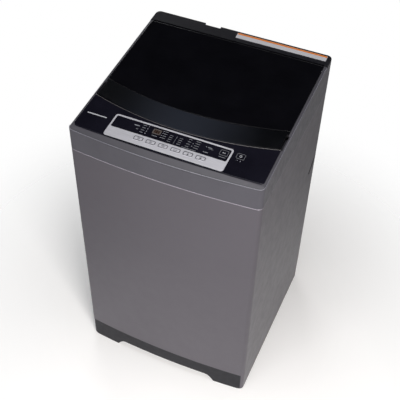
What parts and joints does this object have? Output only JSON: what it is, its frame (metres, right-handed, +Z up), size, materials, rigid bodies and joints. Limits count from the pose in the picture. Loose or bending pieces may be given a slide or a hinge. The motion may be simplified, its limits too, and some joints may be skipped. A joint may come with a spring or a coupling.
{
  "type": "top load washing machine",
  "caption": "Compact top-loading washing machine: steel cabinet with a bowed front, sloping deck, hinged black glass lid, control panel and a suspended tub with a spin basket and pulsator.",
  "frame": {"origin": "on the floor, under the middle of the machine's outline", "axes": "+Z up, front panel faces -Y, +X to the right of a person facing the machine"},
  "size_m": [0.52, 0.537, 0.917],
  "materials": {
    "steel_wrap": "satin metallic grey paint on steel sheet",
    "rear_steel": "satin grey paint",
    "cover_plastic": "fine satin moulded plastic",
    "base_plastic": "fine textured moulded plastic",
    "rubber": "matt black",
    "black_plastic": "satin black",
    "lid_glass": "polished black-backed glass",
    "handle_satin": "satin blue-black",
    "panel_gloss": "polished black",
    "silver": "satin silver",
    "display_lens": "smoked amber lens",
    "circuit_board": "solder-masked board",
    "white_plastic": "plain moulded polypropylene",
    "stainless": "bright rolled sheet",
    "zinc": "zinc plated",
    "cast_aluminium": "as cast and turned",
    "drive_paint": "black baked paint"
  },
  "bodies": {
    "cabinet": {"cabinet_shell": "steel_wrap", "back_panel": "rear_steel", "base_frame": "base_plastic", "rear_feet": "rubber", "top_cover": "cover_plastic", "lid_well": "cover_plastic", "rear_console": "cover_plastic", "control_panel": "panel_gloss", "silver_trim": "silver", "display_window": "display_lens", "control_board": "circuit_board", "inlet_valve": "black_plastic", "inlet_box": "white_plastic", "lid_switch": "black_plastic", "run_capacitor": "white_plastic", "suspension_rods": "zinc", "ball_seats": "zinc", "suspension_springs": "zinc", "drain_hose": "rubber", "pressure_sensor": "black_plastic", "pressure_tube": "rubber", "cord_gland": "rubber", "cabinet_screws": "zinc"},
    "left_foot": {"left_levelling_foot": "rubber"},
    "right_foot": {"right_levelling_foot": "rubber"},
    "lid": {"lid_frame": "black_plastic", "lid_glass": "lid_glass", "lid_handle": "handle_satin", "lid_hinge_pins": "zinc"},
    "drawer": {"detergent_drawer": "white_plastic"},
    "tub": {"outer_tub": "white_plastic", "tub_cover": "white_plastic", "bearings_and_seal": "zinc", "clutch_housing": "drive_paint", "drive_bracket": "zinc", "drive_belt": "rubber", "drive_motor": "drive_paint", "damper_cups": "black_plastic", "drain_valve": "white_plastic", "drain_motor": "white_plastic", "overflow_pipe": "white_plastic"},
    "basket": {"wash_basket": "stainless", "basket_base": "white_plastic", "balance_ring": "white_plastic", "lint_filters": "white_plastic", "spin_shaft": "stainless"},
    "agitator": {"pulsator": "white_plastic", "pulsator_screw": "stainless", "wash_shaft": "stainless"},
    "input_pulley": {"clutch_pulley": "cast_aluminium"},
    "motor_rotor": {"motor_pulley": "cast_aluminium"},
    "plunger": {"drain_plunger": "black_plastic"},
    "delay_button_body": {"delay_button": "silver"},
    "function_button_body": {"function_button": "silver"},
    "program_button_body": {"program_button": "silver"},
    "water_level_button_body": {"water_level_button": "silver"},
    "temperature_button_body": {"temperature_button": "silver"},
    "lock_button_body": {"lock_button": "silver"},
    "start_button_body": {"start_button": "panel_gloss"},
    "power_button_body": {"power_button": "panel_gloss"}
  },
  "joints": [
    {"name": "lid_hinge", "type": "hinge", "parent": "cabinet", "child": "lid", "pos_m": [0, 0.18946, 0.90597], "axis": [-1, 0, 0], "range_deg": [0, 95]},
    {"name": "drawer_slide", "type": "slide", "parent": "cabinet", "child": "drawer", "axis": [0, -1, 0], "range_m": [0, 0.045]},
    {"name": "left_foot_height", "type": "slide", "parent": "cabinet", "child": "left_foot", "axis": [0, 0, -1], "range_m": [0, 0.012]},
    {"name": "right_foot_height", "type": "slide", "parent": "cabinet", "child": "right_foot", "axis": [0, 0, -1], "range_m": [0, 0.012]},
    {"name": "tub_bounce", "type": "slide", "parent": "cabinet", "child": "tub", "axis": [0, 0, 1], "range_m": [-0.025, 0], "stiffness_N_per_m": 9000, "springref_m": 0.032, "deforming": ["suspension_springs"]},
    {"name": "basket_spin", "type": "hinge", "parent": "tub", "child": "basket", "pos_m": [0, 0.012, 0.3], "axis": [0, 0, 1], "continuous": true},
    {"name": "pulsator_spin", "type": "hinge", "parent": "tub", "child": "agitator", "pos_m": [0, 0.012, 0.3], "axis": [0, 0, 1], "continuous": true},
    {"name": "input_pulley_spin", "type": "hinge", "parent": "tub", "child": "input_pulley", "pos_m": [0, 0.012, 0.116], "axis": [0, 0, 1], "continuous": true},
    {"name": "motor_spin", "type": "hinge", "parent": "tub", "child": "motor_rotor", "pos_m": [0.122, 0.012, 0.116], "axis": [0, 0, 1], "continuous": true},
    {"name": "drain_pull", "type": "slide", "parent": "tub", "child": "plunger", "axis": [-1, 0, 0], "range_m": [0, 0.012], "stiffness_N_per_m": 300, "springref_m": -0.006},
    {"name": "delay_press", "type": "slide", "parent": "cabinet", "child": "delay_button_body", "axis": [0, 0.0919, -0.9958], "range_m": [0, 0.001], "stiffness_N_per_m": 500, "springref_m": -0.0012},
    {"name": "function_press", "type": "slide", "parent": "cabinet", "child": "function_button_body", "axis": [0, 0.0919, -0.9958], "range_m": [0, 0.001], "stiffness_N_per_m": 500, "springref_m": -0.0012},
    {"name": "program_press", "type": "slide", "parent": "cabinet", "child": "program_button_body", "axis": [0, 0.0919, -0.9958], "range_m": [0, 0.001], "stiffness_N_per_m": 500, "springref_m": -0.0012},
    {"name": "water_level_press", "type": "slide", "parent": "cabinet", "child": "water_level_button_body", "axis": [0, 0.0919, -0.9958], "range_m": [0, 0.001], "stiffness_N_per_m": 500, "springref_m": -0.0012},
    {"name": "temperature_press", "type": "slide", "parent": "cabinet", "child": "temperature_button_body", "axis": [0, 0.0919, -0.9958], "range_m": [0, 0.001], "stiffness_N_per_m": 500, "springref_m": -0.0012},
    {"name": "lock_press", "type": "slide", "parent": "cabinet", "child": "lock_button_body", "axis": [0, 0.0919, -0.9958], "range_m": [0, 0.001], "stiffness_N_per_m": 500, "springref_m": -0.0012},
    {"name": "start_press", "type": "slide", "parent": "cabinet", "child": "start_button_body", "axis": [0, 0.0919, -0.9958], "range_m": [0, 0.001], "stiffness_N_per_m": 500, "springref_m": -0.0012},
    {"name": "power_press", "type": "slide", "parent": "cabinet", "child": "power_button_body", "axis": [0, 0.0919, -0.9958], "range_m": [0, 0.001], "stiffness_N_per_m": 500, "springref_m": -0.0012}
  ],
  "couplings": [
    {"joint": "input_pulley_spin", "follows": "pulsator_spin", "ratio": 5},
    {"joint": "motor_spin", "follows": "pulsator_spin", "ratio": 15.5}
  ]
}
